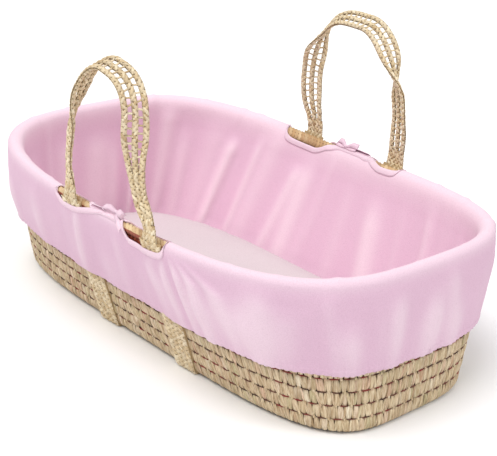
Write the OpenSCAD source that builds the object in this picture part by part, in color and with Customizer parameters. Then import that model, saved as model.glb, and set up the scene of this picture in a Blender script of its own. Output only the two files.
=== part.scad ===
// Moses basket: an oval basket of sewn palm-leaf plait with two carrying straps,
// two openwork handles, a fabric dressing with ties, and a thin mattress.
// +X is the long way, +Y is across, +Z is up. The origin is on the floor under the middle.

/* [Basket] */

// length of the wall's outer face at the floor mat
base_len = 815; // [700:5:900]
// width of the wall's outer face at the floor mat
base_wid = 372; // [300:5:440]
// length of the wall's outer face at the rim
rim_len = 823; // [720:5:920]
// width of the wall's outer face at the rim
rim_wid = 532; // [440:5:620]
// height of the middle of the rim coil above the floor, at the middle of the long sides
rim_z = 230.5; // [180:0.5:280]
// extra height of the rim at the two ends
rim_rise = 13.6; // [0:0.2:30]
// squareness of the plan outline at the floor mat, 2 is an ellipse
base_square = 4.2; // [2:0.1:5]
// squareness of the plan outline at the rim
rim_square = 3.3; // [2:0.1:5]
// thickness of the sewn plait in the wall
plait_t = 8; // [5:0.5:12]
// number of plait rounds in the wall
round_count = 10; // [8:1:12]
// gap between two rounds, where the lacing cord runs
round_gap = 1.6; // [1.2:0.1:2.5]
// thickness of the floor mat
mat_t = 7; // [4:0.5:12]
// radius of the wrapped coil that makes the rim
coil_r = 8; // [6:0.5:11]

/* [Straps and handles] */

// width of the carrying straps and handles
strap_w = 43; // [30:1:60]
// thickness of the carrying straps and handles
strap_t = 4; // [3:0.5:6]
// distance between the middles of the two carrying straps
strap_gap = 194; // [150:2:260]
// sideways place of the middle between the straps
strap_mid = 7; // [-15:1:15]
// turn of each strap about its own upright middle line
strap_turn = 2.5; // [0:0.5:3]
// height of a handle above its turning axis
handle_h = 242; // [180:2:280]
// squareness of the handle arch, 2 is an ellipse
handle_square = 2.5; // [2:0.1:4]
// number of rungs that tie the three plaits of a handle together
rung_count = 30; // [16:1:40]

/* [Dressing] */

// thickness of the dressing cloth
cloth_t = 1.6; // [1:0.1:3]
// height of the skirt's hem above the floor
hem_z = 104; // [60:2:150]
// depth of the handle openings below the middle of the rim coil
opening_drop = 30; // [20:1:45]
// half the length of the side panel, from its middle to the seam with an end panel
side_half = 140; // [130:1:170]
// half the length of the flap between the feet of a handle
flap_half = 52; // [30:1:60]

/* [Mattress] */

// room between the lining and each end of the mattress, at the floor
mattress_end_room = 22.4; // [10:0.2:60]
// room between the lining and each side of the mattress, at the floor
mattress_side_room = 7.9; // [5:0.1:40]
// thickness of the mattress
mattress_t = 30; // [20:1:50]

/* [Hidden] */

around = 64;              // corners in one turn of the basket
skin = 0.3;               // gap left between neighbouring pieces
bulge = 1.8;              // how far the middle of a plait round stands out
corner_in = 5;            // inset of the lowest round where the wall turns under
mat_z = strap_t + 1.3;    // underside of the floor mat
cloth_gap = 1;            // slack between the dressing and the basket
coil_off = -plait_t / 2;  // the coil sits over the middle of the wall
wall_top = rim_z - coil_r - skin;
pitch = (wall_top - mat_z + round_gap) / round_count;
sway = strap_w / 2 * sin(strap_turn) + 0.2;
wrap_in = coil_r + cloth_gap;
wrap_out = wrap_in + cloth_t;

// A handle turns about an axis just outside and above the rim coil.
pivot_z = rim_z + coil_r + 4.5;
foot_low_y = base_wid / 2 + (strap_t / 2 + bulge + sway + 2.4) * 1.07;
foot_rise = pivot_z - mat_z - 9;
coil_clear = coil_r + strap_t / 2 + skin + sway;
pivot_y = rim_wid / 2 + coil_off + coil_clear * 1.07 + 4.7;
lean = atan((pivot_y - foot_low_y) / foot_rise);
corner_r = 8;
knuckle_r = strap_t / 2 + 0.6;
binding_h = 20;
rail_w = 9;

// The skirt hangs clear of the straps at the sides and closer to the wall at the ends.
side_off = pivot_y - rim_wid / 2 - 0.5;
end_off = 7;
opening_z = rim_z - opening_drop;

straw = [0.80, 0.70, 0.54];
straw_light = [0.86, 0.77, 0.60];
lace_brown = [0.45, 0.25, 0.19];
pink = [0.90, 0.77, 0.84];
pink_deep = [0.93, 0.74, 0.82];
pale = [0.90, 0.84, 0.84];

base_mat();
wall_round(0);  // wall_round_01
wall_round(1);  // wall_round_02
wall_round(2);  // wall_round_03
wall_round(3);  // wall_round_04
wall_round(4);  // wall_round_05
wall_round(5);  // wall_round_06
wall_round(6);  // wall_round_07
wall_round(7);  // wall_round_08
wall_round(8);  // wall_round_09
wall_round(round_count - 1);  // wall_round_10
lacing_cord();
rim_coil();
carry_strap(-1);  // carry_strap_left
carry_strap(1);  // carry_strap_right
handle();  // handle_front
foot_bindings();  // handle_front_foot_bindings
handle_back();
foot_bindings_back();  // handle_back_foot_bindings
liner_inner_wall();
liner_base();
skirt_end_left();
skirt_end_right();
skirt_side(-1);  // skirt_front
skirt_side(1);  // skirt_back
flap(-1);  // flap_front
flap(1);  // flap_back
opening_facings();
hem_casing();
tie(-1);  // tie_front
tie(1);  // tie_back
mattress_foam();
mattress_cover();

// ---- outline of the basket ----

function mix(a, b, k) = a + (b - a) * k;
function smooth(k) = let (c = min(1, max(0, k))) c * c * (3 - 2 * c);
function lobe(c, a, n) = a * sign(c) * pow(abs(c), 2 / n);

// Share of the wall's height: 0 at the floor mat, 1 at the middle of the rim coil.
function up(z) = (z - mat_z) / (rim_z - mat_z);

// Plan squareness at a height.
function square_at(z) = mix(base_square, rim_square, min(1, max(0, up(z))));

// A point `off` outside the wall's outer face, at turn t and nominal height z.
function wall_point(t, off, z) = let (
    a = mix(base_len, rim_len, up(z)) / 2 + off,
    b = mix(base_wid, rim_wid, up(z)) / 2 + off,
    n = square_at(z),
    x = lobe(cos(t), a, n)
) [x, lobe(sin(t), b, n), z + rim_rise * up(z) * pow(x / a, 2)];

// Turn at which the rim outline passes x, on the front (-1) or back (1) side.
function turn_at(x, side) =
    side * acos(sign(x) * pow(abs(x) / (rim_len / 2), rim_square / 2));

// Sideways place of the middle between the straps on one side.
function side_mid(side) = strap_mid - side * pivot_y * tan(strap_turn);

// ---- sweeps ----

// Two triangles for the four-cornered patch a, b, c, d.
function patch(a, b, c, d) = [[a, b, c], [a, c, d]];

// A closed ring: the section is a counterclockwise list of [off, z].
module wall_ring(section) {
    m = len(section);
    points = [for (i = [0:around - 1]) for (p = section)
        wall_point(i * 360 / around, p[0], p[1])];
    faces = [for (i = [0:around - 1]) for (j = [0:m - 1])
        let (k = (i + 1) % around, l = (j + 1) % m)
        each patch(i * m + j, i * m + l, k * m + l, k * m + j)];
    polyhedron(points, faces);
}

// A cloth panel from turn t0 to turn t1. The outer and inner lists of [off, z] run side by side.
module wall_panel(outer, inner, t0, t1, steps) {
    k = len(outer);
    m = 2 * k;
    section = concat(outer, [for (j = [k - 1:-1:0]) inner[j]]);
    points = [for (i = [0:steps]) for (p = section)
        wall_point(mix(t0, t1, i / steps), p[0], p[1])];
    skin_faces = [for (i = [0:steps - 1]) for (j = [0:m - 1])
        let (l = (j + 1) % m)
        each patch(i * m + j, i * m + l, (i + 1) * m + l, (i + 1) * m + j)];
    start_cap = [for (j = [0:k - 2]) each patch(m - 1 - j, m - 2 - j, j + 1, j)];
    last = steps * m;
    end_cap = [for (j = [0:k - 2])
        each patch(last + j, last + j + 1, last + m - 2 - j, last + m - 1 - j)];
    polyhedron(points, concat(skin_faces, start_cap, end_cap));
}

// A flat-bottomed pad with eased edges: rings of [inset, z] over one plan outline.
module pad(len_x, wid_y, power, rings) {
    points = [for (r = rings) for (i = [0:around - 1])
        [lobe(cos(i * 360 / around), len_x / 2 - r[0], power),
         lobe(sin(i * 360 / around), wid_y / 2 - r[0], power), r[1]]];
    top = (len(rings) - 1) * around;
    sides = [for (r = [0:len(rings) - 2]) for (i = [0:around - 1])
        let (k = (i + 1) % around)
        each patch(r * around + i, (r + 1) * around + i, (r + 1) * around + k, r * around + k)];
    bottom_face = [[for (i = [0:around - 1]) i]];
    top_face = [[for (i = [around - 1:-1:0]) top + i]];
    polyhedron(points, concat(sides, bottom_face, top_face));
}

// ---- basket ----

// Flat oval floor of sewn plait.
module base_mat() {
    color(straw)
    translate([0, 0, mat_z])
    linear_extrude(mat_t)
    polygon([for (i = [0:around - 1])
        let (p = wall_point(i * 360 / around, -plait_t - skin, mat_z)) [p[0], p[1]]]);
}

// One round of plait. The lowest round turns in under the wall.
module wall_round(k) {
    low = mat_z + k * pitch;
    high = low + pitch - round_gap;
    foot_off = k == 0 ? -corner_in : 0;
    color(k % 2 == 0 ? straw : straw_light)
    wall_ring([[foot_off, low], [bulge, (low + high) / 2], [0, high], [-plait_t, high],
        [-plait_t, low]]);
}

// Cord that sews each round to the next, lying in the grooves.
module lacing_cord() {
    half = round_gap / 2 - skin;
    color(lace_brown)
    for (k = [1:round_count - 1]) {
        groove = mat_z + k * pitch - round_gap / 2;
        wall_ring([[0.4, groove], [-4, groove + half], [-4, groove - half]]);
    }
}

// Coil along the top edge, wrapped in leaf.
module rim_coil() {
    color(straw_light)
    wall_ring([for (i = [0:7])
        [coil_off + coil_r * cos(i * 45), rim_z + coil_r * sin(i * 45)]]);
}

// ---- straps and handles ----

// Half of a carrying strap's side view: flat under the floor, round the corner, up the wall.
// The upper end is cut at a slant, so that the handle's foot can fold down outside it.
function strap_half() = let (
    corner_z = strap_t + corner_r,
    face_y = pivot_y - (pivot_z - corner_z) * tan(lean) - strap_t / 2 / cos(lean),
    corner_y = face_y - corner_r / cos(lean),
    in_gap = knuckle_r + 0.8,
    out_gap = in_gap + 0.8 * strap_t,
    out_r = corner_r + strap_t,
    turn = 90 - lean
) concat(
    [for (i = [0:6]) let (g = -90 + turn * i / 6)
        [corner_y + out_r * cos(g), corner_z + out_r * sin(g)]],
    [[pivot_y - out_gap * sin(lean) + strap_t / 2 * cos(lean),
      pivot_z - out_gap * cos(lean) - strap_t / 2 * sin(lean)],
     [pivot_y - in_gap * sin(lean) - strap_t / 2 * cos(lean),
      pivot_z - in_gap * cos(lean) + strap_t / 2 * sin(lean)]],
    [for (i = [6:-1:0]) let (g = -90 + turn * i / 6)
        [corner_y + corner_r * cos(g), corner_z + corner_r * sin(g)]]
);

// Strap that runs from one handle foot, down the wall, under the floor and up to the other.
module carry_strap(side) {
    half = strap_half();
    other = [for (i = [len(half) - 1:-1:0]) [-half[i][0], half[i][1]]];
    color(straw_light)
    translate([strap_mid + side * strap_gap / 2, 0, 0])
    rotate([0, 0, strap_turn])
    rotate([90, 0, 90])
    translate([0, 0, -strap_w / 2])
    linear_extrude(strap_w)
    polygon(concat(half, other));
}

// Middle line of the arch: k runs 0 to 1 from the left foot to the right foot.
function arch(k) = let (g = 180 - 180 * k, half = strap_gap / 2) [
    side_mid(-1) + lobe(cos(g), half, handle_square),
    -pivot_y,
    pivot_z + lobe(sin(g), handle_h, handle_square)
];

// The arch leaves out the short bound length above each foot.
foot_turn = asin(pow((binding_h + skin) / handle_h, handle_square / 2));
function along(share) = let (k0 = foot_turn / 180) mix(k0, 1 - k0, share);

// The strap lies flat on the wall at its feet and flat across at the top of the arch.
function twist(p) = let (h = (p[2] - pivot_z) / handle_h)
    45 * smooth((h - binding_h / handle_h) / 0.25) + 45 * smooth((h - 0.5) / 0.5);

// Direction across the strap at k.
function across(k) = let (
    p = arch(k),
    d = arch(min(1, k + 0.002)) - arch(max(0, k - 0.002)),
    g = twist(p),
    u = d / norm(d)
) [u[2] * cos(g), -sin(g), -u[0] * cos(g)];

// Direction out of the strap's flat face at k.
function face_out(k) = let (d = arch(min(1, k + 0.002)) - arch(max(0, k - 0.002)))
    cross(d / norm(d), across(k));

// Station lines along the strap: even cells are holes, odd cells are rungs.
cells = 2 * rung_count + 1;
rung_share = 0.3;
function station(i) = (floor(i / 2) + (i % 2) * (1 - rung_share)) /
    (rung_count + 1 - rung_share);

// Edges of the three plaits across the strap.
rail_edges = [-strap_w / 2, rail_w - strap_w / 2, -rail_w / 2, rail_w / 2,
    strap_w / 2 - rail_w, strap_w / 2];

// The plaits run all the way, and the rungs fill every second cell between them.
function filled(i, j) = i >= 0 && i < cells && j >= 0 && j <= 4 && (j % 2 == 0 || i % 2 == 1);

// Handle strap: three plaits joined by rungs, with open holes between them.
module handle() {
    points = [for (face = [-1, 1]) for (i = [0:cells])
        let (k = along(station(i)), w = across(k), n = face_out(k))
        for (e = rail_edges)
        arch(k) + e * w + face * strap_t / 2 * n];
    top = (cells + 1) * 6;
    faces = [for (i = [0:cells - 1]) for (j = [0:4]) if (filled(i, j))
        let (a = i * 6 + j, b = a + 1, c = a + 7, d = a + 6)
        each concat(
            patch(top + a, top + b, top + c, top + d),
            patch(a, d, c, b),
            filled(i - 1, j) ? [] : patch(b, top + b, top + a, a),
            filled(i + 1, j) ? [] : patch(d, top + d, top + c, c),
            filled(i, j - 1) ? [] : patch(a, top + a, top + d, d),
            filled(i, j + 1) ? [] : patch(c, top + c, top + b, b)
        )];
    color(straw_light)
    polyhedron(points, faces);
}

module handle_back() {
    mirror([0, 1, 0])
    translate([side_mid(1) - side_mid(-1), 0, 0])
    handle();
}

// Bound foot of a handle, with a rounded end on the turning axis.
module foot_binding(x) {
    translate([x - strap_w / 2, -pivot_y, pivot_z])
    rotate([0, 90, 0])
    cylinder(r = knuckle_r, h = strap_w, $fn = 32);
    translate([x - strap_w / 2, -pivot_y - strap_t / 2, pivot_z])
    cube([strap_w, strap_t, binding_h]);
}

module foot_bindings() {
    color(straw)
    for (side = [-1, 1])
        foot_binding(side_mid(-1) + side * strap_gap / 2);
}

module foot_bindings_back() {
    mirror([0, 1, 0])
    translate([side_mid(1) - side_mid(-1), 0, 0])
    foot_bindings();
}

// ---- dressing ----

inner_face = -plait_t - cloth_gap / 2;
wrap_inner_face = coil_off - wrap_in;
liner_top = rim_z + 1;
lining_z = mat_z + mat_t + skin;

// Cloth that lines the wall, from the base cloth up to the inside of the rim.
module liner_inner_wall() {
    low = lining_z + cloth_t + skin;
    neck = rim_z - coil_r - 16;
    shoulder = rim_z - coil_r - 4;
    color(pink_deep)
    wall_ring([[inner_face, low], [inner_face, neck], [wrap_inner_face, shoulder],
        [wrap_inner_face, liner_top], [wrap_inner_face - cloth_t, liner_top],
        [wrap_inner_face - cloth_t, shoulder], [inner_face - cloth_t, neck],
        [inner_face - cloth_t, low]]);
}

// Cloth that lies on the floor mat.
module liner_base() {
    color(pink_deep)
    translate([0, 0, lining_z])
    linear_extrude(cloth_t)
    polygon([for (i = [0:around - 1])
        let (p = wall_point(i * 360 / around, inner_face - cloth_t, lining_z)) [p[0], p[1]]]);
}

// Section of cloth that comes up outside, rolls over the coil and meets the inner wall cloth.
function roll_over(radius, lead) = concat(lead,
    [for (g = [0:30:150]) [coil_off + radius * cos(g), rim_z + radius * sin(g)]],
    [[coil_off - radius, liner_top + skin]]);

module end_panel(t0, t1) {
    color(pink)
    wall_panel(
        roll_over(wrap_out, [[end_off + cloth_t, hem_z], [end_off + cloth_t, rim_z - 24]]),
        roll_over(wrap_in, [[end_off, hem_z], [end_off, rim_z - 24]]),
        t0, t1, 28);
}

module skirt_end_right() {
    end_panel(turn_at(side_mid(-1) + side_half + skin, -1),
        turn_at(side_mid(1) + side_half + skin, 1));
}

module skirt_end_left() {
    end_panel(turn_at(side_mid(1) - side_half - skin, 1),
        360 + turn_at(side_mid(-1) - side_half - skin, -1));
}

// Turns at which a strip of one side starts and ends, in order.
function side_turns(side, low_x, high_x) = side < 0
    ? [turn_at(low_x, -1), turn_at(high_x, -1)]
    : [turn_at(high_x, 1), turn_at(low_x, 1)];

// Side of the skirt, from the hem up to the bottom of the handle openings.
module skirt_side(side) {
    turns = side_turns(side, side_mid(side) - side_half, side_mid(side) + side_half);
    color(pink)
    wall_panel([[side_off + cloth_t, hem_z], [side_off + cloth_t, opening_z]],
        [[side_off, hem_z], [side_off, opening_z]], turns[0], turns[1], 14);
}

// Flap between the feet of a handle, up and over the rim.
module flap(side) {
    turns = side_turns(side, side_mid(side) - flap_half, side_mid(side) + flap_half);
    color(pink)
    wall_panel(
        roll_over(wrap_out, [[side_off + cloth_t, opening_z + skin]]),
        roll_over(wrap_in, [[side_off, opening_z + skin]]),
        turns[0], turns[1], 6);
}

// Turned and stitched edges along the bottom of the four handle openings.
module opening_facings() {
    facing_h = 6;
    low = opening_z + skin;
    color(pink)
    for (side = [-1, 1])
        for (end = [-1, 1]) {
            near = side_mid(side) + end * (flap_half + 1);
            far = side_mid(side) + end * side_half;
            turns = side_turns(side, min(near, far), max(near, far));
            wall_panel([[side_off + cloth_t + 0.4, low], [side_off + cloth_t + 0.4, low + facing_h]],
                [[side_off, low], [side_off, low + facing_h]], turns[0], turns[1], 5);
        }
}

// Hem with an elastic inside it, drawn in a little below the skirt.
module hem_casing() {
    casing_h = 7;
    low = hem_z - skin - casing_h;
    color(pink)
    wall_ring([[side_off - 0.5, low], [side_off + cloth_t, low + casing_h],
        [side_off - cloth_t, low + casing_h], [side_off - 2.5, low]]);
}

// Cloth strip tied over the flap: a knot, two loops and two tails.
module tie(side) {
    knot_r = 6;
    strip_r = 1.6;
    knot = [side_mid(side) - 4, side * (rim_wid / 2 + coil_off),
        rim_z + wrap_out + knot_r + 1];
    ends = [[-34, 7], [-30, -4], [33, 6], [26, -5]];
    color(pink_deep) {
        translate(knot)
        sphere(r = knot_r, $fn = 24);
        for (e = ends)
            hull() {
                translate(knot)
                sphere(r = strip_r, $fn = 12);
                translate(knot + [e[0], e[1], -knot_r + strip_r])
                sphere(r = strip_r, $fn = 12);
                translate(knot + [e[0] * 0.9, e[1] + 8 * sign(e[1]), -knot_r + strip_r])
                sphere(r = strip_r, $fn = 12);
            }
    }
}

// ---- mattress ----

mattress_power = 3;
mattress_low = lining_z + cloth_t + skin;
mattress_len = base_len + 2 * (inner_face - cloth_t - mattress_end_room);
mattress_wid = base_wid + 2 * (inner_face - cloth_t - mattress_side_room);
cover_t = 1.5;
edge_r = 6;

module mattress_foam() {
    gap = cover_t + skin;
    color([0.95, 0.93, 0.86])
    pad(mattress_len, mattress_wid, mattress_power,
        [[gap + edge_r, mattress_low + gap], [gap, mattress_low + gap + edge_r],
         [gap, mattress_low + mattress_t - gap - edge_r],
         [gap + edge_r, mattress_low + mattress_t - gap]]);
}

module mattress_cover() {
    color(pale)
    difference() {
        pad(mattress_len, mattress_wid, mattress_power,
            [[edge_r, mattress_low], [0, mattress_low + edge_r],
             [0, mattress_low + mattress_t - edge_r], [edge_r, mattress_low + mattress_t]]);
        pad(mattress_len, mattress_wid, mattress_power,
            [[cover_t + edge_r, mattress_low + cover_t], [cover_t, mattress_low + cover_t + edge_r],
             [cover_t, mattress_low + mattress_t - cover_t - edge_r],
             [cover_t + edge_r, mattress_low + mattress_t - cover_t]]);
    }
}
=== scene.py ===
import bpy
import bmesh
import random
import numpy as np
from math import atan2, copysign, cos, exp, pi, radians, sin, tan
from mathutils import Vector, Matrix


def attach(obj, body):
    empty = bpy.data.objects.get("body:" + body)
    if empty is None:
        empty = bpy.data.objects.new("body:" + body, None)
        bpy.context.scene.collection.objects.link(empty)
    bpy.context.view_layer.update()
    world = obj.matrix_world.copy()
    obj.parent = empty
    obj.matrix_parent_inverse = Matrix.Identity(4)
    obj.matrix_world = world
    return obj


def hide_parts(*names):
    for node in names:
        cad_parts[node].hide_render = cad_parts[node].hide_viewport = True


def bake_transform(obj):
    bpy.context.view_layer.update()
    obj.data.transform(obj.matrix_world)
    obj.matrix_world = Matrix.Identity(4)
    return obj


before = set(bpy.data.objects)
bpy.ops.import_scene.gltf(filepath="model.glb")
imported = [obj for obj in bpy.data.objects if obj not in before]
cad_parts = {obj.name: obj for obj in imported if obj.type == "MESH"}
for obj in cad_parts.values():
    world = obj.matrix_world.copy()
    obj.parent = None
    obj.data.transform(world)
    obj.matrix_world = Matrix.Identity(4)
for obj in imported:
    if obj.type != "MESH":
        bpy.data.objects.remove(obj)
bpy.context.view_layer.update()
print("frame loaded")

mm = 0.001

# the same plan outline and wall slope as the sewn plait rings
basket = {
    "baseLength": 0.815, "baseWidth": 0.372, "rimLength": 0.823, "rimWidth": 0.532,
    "matZ": 0.0053, "rimZ": 0.2305, "rimRise": 0.0136,
    "baseSquare": 4.2, "rimSquare": 3.3, "coilOff": -0.004, "coilRadius": 0.008,
}
strap = {
    "width": 0.043, "thickness": 0.004, "spacing": 0.194, "middle": 0.007, "turn": 2.5,
    "pivotY": 0.278938, "pivotZ": 0.243, "lean": 20.4075, "cornerRadius": 0.008,
}


def mix(a, b, k):
    return a + (b - a) * k


def clamp(k):
    return min(1.0, max(0.0, k))


def smooth(k):
    c = clamp(k)
    return c * c * (3 - 2 * c)


def lobe(c, a, n):
    return copysign(a * abs(c) ** (2 / n), c)


def upShare(z):
    return (z - basket["matZ"]) / (basket["rimZ"] - basket["matZ"])


def wallPoint(turn, off, z):
    k = upShare(z)
    a = mix(basket["baseLength"], basket["rimLength"], k) / 2 + off
    b = mix(basket["baseWidth"], basket["rimWidth"], k) / 2 + off
    n = mix(basket["baseSquare"], basket["rimSquare"], clamp(k))
    x = lobe(cos(turn), a, n)
    rise = basket["rimRise"] * k * (x / a) ** 2
    return Vector((x, lobe(sin(turn), b, n), z + rise))


# turns round the basket that lie at even distances along its outline
class Girth:
    def __init__(self, off, z, samples=1440):
        self.turns = np.linspace(0, 2 * pi, samples + 1)
        points = np.array([wallPoint(t, off, z)[:] for t in self.turns])
        steps = np.linalg.norm(np.diff(points, axis=0), axis=1)
        self.along = np.concatenate([[0], np.cumsum(steps)])
        self.length = float(self.along[-1])
        self.xs = points[:, 0]

    def turn(self, s):
        return float(np.interp(s % self.length, self.along, self.turns))

    def x(self, s):
        return float(np.interp(s % self.length, self.along, self.xs))


def sideMiddle(side):
    return strap["middle"] - side * strap["pivotY"] * tan(radians(strap["turn"]))


def newPiece(name, bm, body=None, material=None, smoothFaces=True):
    mesh = bpy.data.meshes.new(name)
    for face in bm.faces:
        face.smooth = smoothFaces
    bm.to_mesh(mesh)
    bm.free()
    piece = bpy.data.objects.new(name, mesh)
    bpy.context.scene.collection.objects.link(piece)
    if material:
        mesh.materials.append(material)
    if body:
        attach(piece, body)
    return piece


# a matrix that turns a bead's long side along a direction
def turnAlong(way):
    return way.normalized().to_track_quat("X", "Z").to_matrix().to_4x4()


def addGrid(bm, columns, rows, size=0.5):
    return bmesh.ops.create_grid(bm, x_segments=columns, y_segments=rows, size=size)["verts"]


def faceOut(bm):
    bmesh.ops.recalc_face_normals(bm, faces=bm.faces)


# an empty mesh with the attribute that the cloth's material reads
def clothMesh():
    bm = bmesh.new()
    return bm, bm.verts.layers.float_vector.new("cloth")


# a CAD object keeps its shape and gets a better material
def dress(node, material):
    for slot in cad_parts[node].material_slots:
        slot.link = "OBJECT"
        slot.material = material


def thicken(piece, thickness, offset=0.0):
    solid = piece.modifiers.new("thickness", "SOLIDIFY")
    solid.thickness = thickness
    solid.offset = offset
    return piece


def roundOff(piece):
    sub = piece.modifiers.new("round", "SUBSURF")
    sub.levels = 1
    sub.render_levels = 1


# many small shapes gathered in one mesh, each made from a pattern that is shaped again
class Gather:
    def __init__(self):
        self.bm = bmesh.new()
        self.bm.verts.layers.float_vector.new("grain")
        self.scrap = bpy.data.meshes.new("scrap")
        self.patterns = {}

    def pattern(self, key, make):
        if key not in self.patterns:
            bm = bmesh.new()
            grain = bm.verts.layers.float_vector.new("grain")
            make(bm)
            self.patterns[key] = (bm, grain, [(v, v.co.copy()) for v in bm.verts])
        return self.patterns[key]

    def add(self, bm):
        bm.to_mesh(self.scrap)
        self.bm.from_mesh(self.scrap)

    # a leaf strip: place(a, b) gives the point for -1..1 across and 0..1 along
    def strip(self, place, halfWidth, length, seed, across=2, along=4):
        bm, grain, spots = self.pattern(("strip", across, along),
                                        lambda bm: addGrid(bm, across, along))
        for v, home in spots:
            a = home.x * 2
            b = home.y + 0.5
            v.co = place(a, b)
            v[grain] = (a * halfWidth, b * length, seed)
        self.add(bm)

    # a rounded bead, moved and stretched by a matrix
    def bead(self, matrix, seed):
        bm, grain, spots = self.pattern("bead", lambda bm: bmesh.ops.create_icosphere(
            bm, subdivisions=1, radius=0.5))
        for v, home in spots:
            v.co = matrix @ home
            v[grain] = (home.y, home.x, seed)
        self.add(bm)


class Value:
    def __init__(self, graph, socket):
        self.graph = graph
        self.socket = socket

    def maths(self, operation, other=None, swap=False):
        pair = [self, other] if other is not None else [self]
        if swap:
            pair.reverse()
        return self.graph.put("ShaderNodeMath", {"operation": operation}, pair)

    def __add__(self, other):
        return self.maths("ADD", other)

    def __sub__(self, other):
        return self.maths("SUBTRACT", other)

    def __rsub__(self, other):
        return self.maths("SUBTRACT", other, True)

    def __mul__(self, other):
        return self.maths("MULTIPLY", other)

    __radd__ = __add__
    __rmul__ = __mul__


class Graph:
    def __init__(self, name):
        self.material = bpy.data.materials.new(name)
        self.material.use_nodes = True
        self.tree = self.material.node_tree
        self.shader = self.tree.nodes["Principled BSDF"]

    def feed(self, socket, value):
        if isinstance(value, Value):
            self.tree.links.new(value.socket, socket)
        else:
            socket.default_value = value

    def put(self, kind, settings=None, inputs=None, output=0):
        node = self.tree.nodes.new(kind)
        for key, value in (settings or {}).items():
            setattr(node, key, value)
        pairs = enumerate(inputs) if isinstance(inputs, list) else (inputs or {}).items()
        for key, value in pairs:
            self.feed(node.inputs[key], value)
        return Value(self, node.outputs[output])

    def ramp(self, factor, stops):
        node = self.tree.nodes.new("ShaderNodeValToRGB")
        band = node.color_ramp
        while len(band.elements) < len(stops):
            band.elements.new(0.5)
        for element, (place, colour) in zip(band.elements, stops):
            element.position = place
            element.color = (*colour, 1)
        self.feed(node.inputs[0], factor)
        return Value(self, node.outputs[0])

    def blendColours(self, factor, first, second, kind="MIX"):
        node = self.tree.nodes.new("ShaderNodeMix")
        node.data_type = "RGBA"
        node.blend_type = kind
        self.feed(node.inputs[0], factor)
        for socket, value in ((node.inputs[6], first), (node.inputs[7], second)):
            self.feed(socket, value if isinstance(value, Value) else (*value, 1))
        return Value(self, node.outputs[2])

    def finish(self, **values):
        for name, value in values.items():
            self.feed(self.shader.inputs[name.replace("_", " ")], value)
        return self.material


def tint(r, g, b):
    def channel(c):
        c = c / 255
        return c / 12.92 if c <= 0.04045 else ((c + 0.055) / 1.055) ** 2.4
    return (channel(r), channel(g), channel(b))


# dry palm leaf: every strip its own tone, with fine streaks along it
def leafMaterial(name, palette, roughness=0.62, dyeAndShadeFrom=None, lines=0.62):
    g = Graph(name)
    grain = g.put("ShaderNodeAttribute", {"attribute_name": "grain"}, output=1)
    parts = g.tree.nodes.new("ShaderNodeSeparateXYZ")
    g.feed(parts.inputs[0], grain)
    seed = Value(g, parts.outputs[2])
    tone = g.put("ShaderNodeTexWhiteNoise", {"noise_dimensions": "1D"}, {"W": seed}, output=0)
    second = g.put("ShaderNodeTexWhiteNoise", {"noise_dimensions": "1D"},
                   {"W": seed + 37.3}, output=0)
    stretched = g.put("ShaderNodeVectorMath", {"operation": "MULTIPLY"},
                      [grain, (640.0, 60.0, 13.0)])
    streak = g.put("ShaderNodeTexNoise", {}, {"Vector": stretched, "Scale": 1.0, "Detail": 3.0,
                                              "Roughness": 0.6})
    base = g.ramp(tone, palette)
    line = g.ramp(streak, [(0.40, (0.0, 0.0, 0.0)), (0.62, (1.0, 1.0, 1.0))])
    shade = g.blendColours(line * lines, base, tint(176, 146, 108), "MULTIPLY")
    broad = g.put("ShaderNodeTexNoise", {}, {"Vector": g.put(
        "ShaderNodeTexCoord", output=3), "Scale": 9.0, "Detail": 2.0})
    shade = g.blendColours(broad * 0.2, shade, tint(200, 160, 130), "MULTIPLY")
    lit = g.blendColours(second * 0.34, shade, tint(158, 130, 96), "MULTIPLY")
    # dark red on the lower outer side of each rim wrap: partly leaf dye, partly painted shade and
    # painted pink light reflected from the cloth
    if dyeAndShadeFrom:
        around = (Value(g, parts.outputs[1]) + 0.0445 + streak * 0.003).maths("MODULO", 0.05)
        past = around.maths("GREATER_THAN", dyeAndShadeFrom)
        lit = g.blendColours(past * 0.92, lit, tint(142, 62, 48))
    bump = g.put("ShaderNodeBump", {}, {"Strength": 0.45, "Distance": 0.0006, "Height": streak})
    return g.finish(Base_Color=lit, Roughness=0.16 * streak + roughness, Normal=bump)


straws = [(0.0, tint(232, 214, 178)), (0.25, tint(242, 228, 196)), (0.45, tint(224, 206, 168)),
          (0.6, tint(238, 220, 190)), (0.72, tint(214, 206, 164)), (0.84, tint(232, 200, 172)),
          (0.93, tint(246, 236, 210)), (1.0, tint(206, 184, 146))]
plaitLeaf = leafMaterial("plaitLeaf", straws)
strapLeaf = leafMaterial("strapLeaf", [(0.0, tint(240, 224, 188)), (0.4, tint(250, 240, 212)),
                                       (0.7, tint(232, 214, 174)), (0.88, tint(218, 194, 150)),
                                       (1.0, tint(242, 226, 190))], lines=0.25)
# rim wraps: the dark red lower outer side is partly leaf dye, partly painted shade and painted
# reflected light
rimLeaf = leafMaterial("rimLeaf", [(0.0, tint(206, 170, 122)), (0.5, tint(240, 218, 176)),
                                   (1.0, tint(184, 144, 100))], dyeAndShadeFrom=0.030, lines=0.25)
# top round: red that is partly leaf dye and partly painted pink light reflected from the cloth
redLeaf = leafMaterial("redLeaf", [(0.0, tint(204, 96, 70)), (0.5, tint(222, 124, 90)),
                                   (1.0, tint(178, 74, 56))])


# plain leaf coloured dark as painted shade between the strips, for the solid rings behind them
def backingMaterial(name, light, deep):
    g = Graph(name)
    place = g.put("ShaderNodeTexCoord", output=3)
    fibre = g.put("ShaderNodeTexNoise", {}, {"Vector": place, "Scale": 420.0, "Detail": 3.0})
    colour = g.blendColours(fibre, deep, light)
    bump = g.put("ShaderNodeBump", {}, {"Strength": 0.5, "Distance": 0.001, "Height": fibre})
    return g.finish(Base_Color=colour, Roughness=0.8, Normal=bump)


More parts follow.
